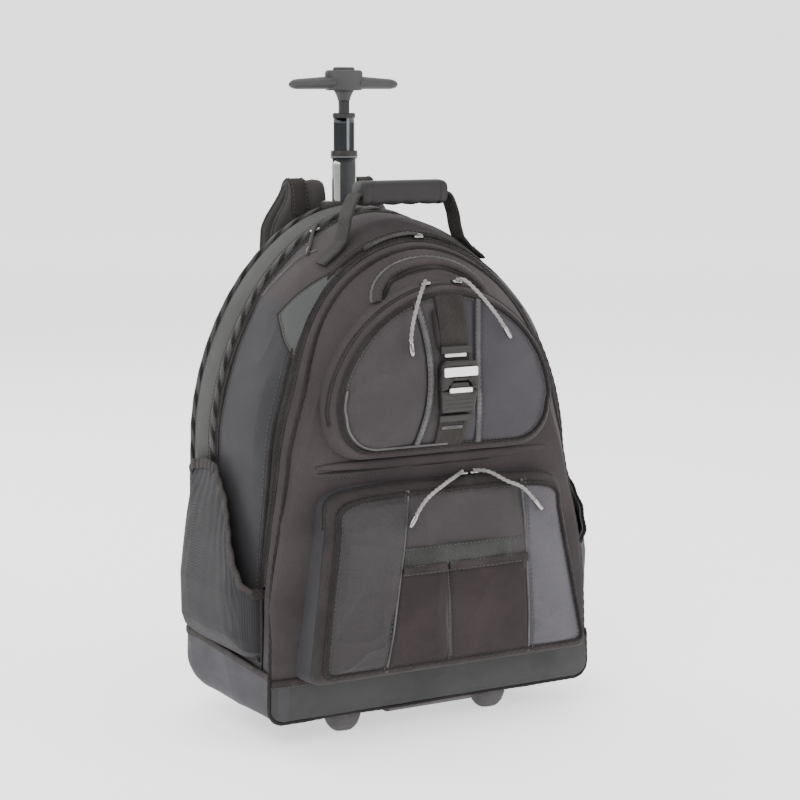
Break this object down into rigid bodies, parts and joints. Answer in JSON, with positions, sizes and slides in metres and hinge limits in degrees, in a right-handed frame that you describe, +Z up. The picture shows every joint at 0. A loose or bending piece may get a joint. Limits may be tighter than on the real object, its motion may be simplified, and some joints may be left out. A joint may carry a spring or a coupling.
{
  "type": "wheeled laptop backpack",
  "caption": "Soft laptop backpack that stands on wheels and feet, with a telescoping pull handle, domed and boxy front pockets, gathered side pockets and padded shoulder straps.",
  "frame": {"origin": "middle of the bounding box at the floor, with the bag standing on its feet and wheels", "axes": "+Z up, +Y towards the wearer's back (the shoulder straps), -Y the front pockets, +X the bag's right seen from the front"},
  "size_m": [0.4016, 0.2724, 0.627],
  "materials": {
    "cloth_grey": "woven polyester, matt",
    "cloth_dark": "woven polyester, matt",
    "cloth_light": "ripstop nylon, slight sheen",
    "mesh_cloth": "spacer mesh, matt",
    "coated_cloth": "rubber-coated fabric, satin",
    "webbing": "woven webbing, matt",
    "plastic": "moulded, satin",
    "grip_plastic": "moulded, satin",
    "aluminium": "brushed",
    "dark_tube": "anodised, satin",
    "rubber": "matt",
    "pull_metal": "satin"
  },
  "bodies": {
    "bag": {"rear_shell": "cloth_grey", "main_gusset": "cloth_grey", "front_shell": "cloth_dark", "divider": "cloth_dark", "rear_zip": "cloth_dark", "front_zip": "cloth_dark", "base_tray": "coated_cloth", "upper_pocket": "cloth_grey", "upper_zip": "cloth_dark", "lower_pocket": "cloth_light", "lower_zip": "cloth_dark", "slip_pocket_left": "mesh_cloth", "slip_pocket_right": "mesh_cloth", "webbing_band": "webbing", "stash_rim": "cloth_light", "strap_upper": "webbing", "strap_lower": "webbing", "buckle_socket": "plastic", "buckle_plug": "plastic", "side_pocket_left": "mesh_cloth", "side_pocket_right": "mesh_cloth", "hem_left": "webbing", "hem_right": "webbing", "carry_handle": "rubber", "back_pad": "mesh_cloth", "harness_left": "cloth_dark", "harness_right": "cloth_dark", "webbing_left": "webbing", "webbing_right": "webbing", "ladder_left": "plastic", "ladder_right": "plastic", "tab_left": "cloth_dark", "tab_right": "cloth_dark", "guide_tube": "dark_tube", "bezel": "plastic", "housing_left": "plastic", "housing_right": "plastic", "foot_left": "rubber", "foot_right": "rubber", "skid": "plastic", "pull_upper_left": "pull_metal", "pull_upper_right": "pull_metal", "pull_lower_left": "pull_metal", "pull_lower_right": "pull_metal", "pull_rear": "pull_metal", "pull_front": "pull_metal"},
    "pole_lower": {"stage_one": "aluminium"},
    "pole_middle": {"stage_two": "dark_tube"},
    "handle": {"tee_handle": "grip_plastic"},
    "button": {"release_button": "plastic"},
    "wheel_l": {"wheel_left": "rubber"},
    "wheel_r": {"wheel_right": "rubber"}
  },
  "joints": [
    {"name": "pole_lower_slide", "type": "slide", "parent": "bag", "child": "pole_lower", "axis": [0, 0, 1], "range_m": [-0.04, 0.15]},
    {"name": "pole_middle_slide", "type": "slide", "parent": "pole_lower", "child": "pole_middle", "axis": [0, 0, 1], "range_m": [-0.03, 0.13]},
    {"name": "handle_slide", "type": "slide", "parent": "pole_middle", "child": "handle", "axis": [0, 0, 1], "range_m": [-0.011, 0.11]},
    {"name": "button_press", "type": "slide", "parent": "handle", "child": "button", "axis": [0, 0, 1], "range_m": [-0.003, 0], "stiffness_N_per_m": 600},
    {"name": "wheel_left_spin", "type": "hinge", "parent": "bag", "child": "wheel_l", "pos_m": [-0.104, 0.07144, 0.032], "axis": [1, 0, 0], "continuous": true},
    {"name": "wheel_right_spin", "type": "hinge", "parent": "bag", "child": "wheel_r", "pos_m": [0.104, 0.07144, 0.032], "axis": [1, 0, 0], "continuous": true}
  ]
}
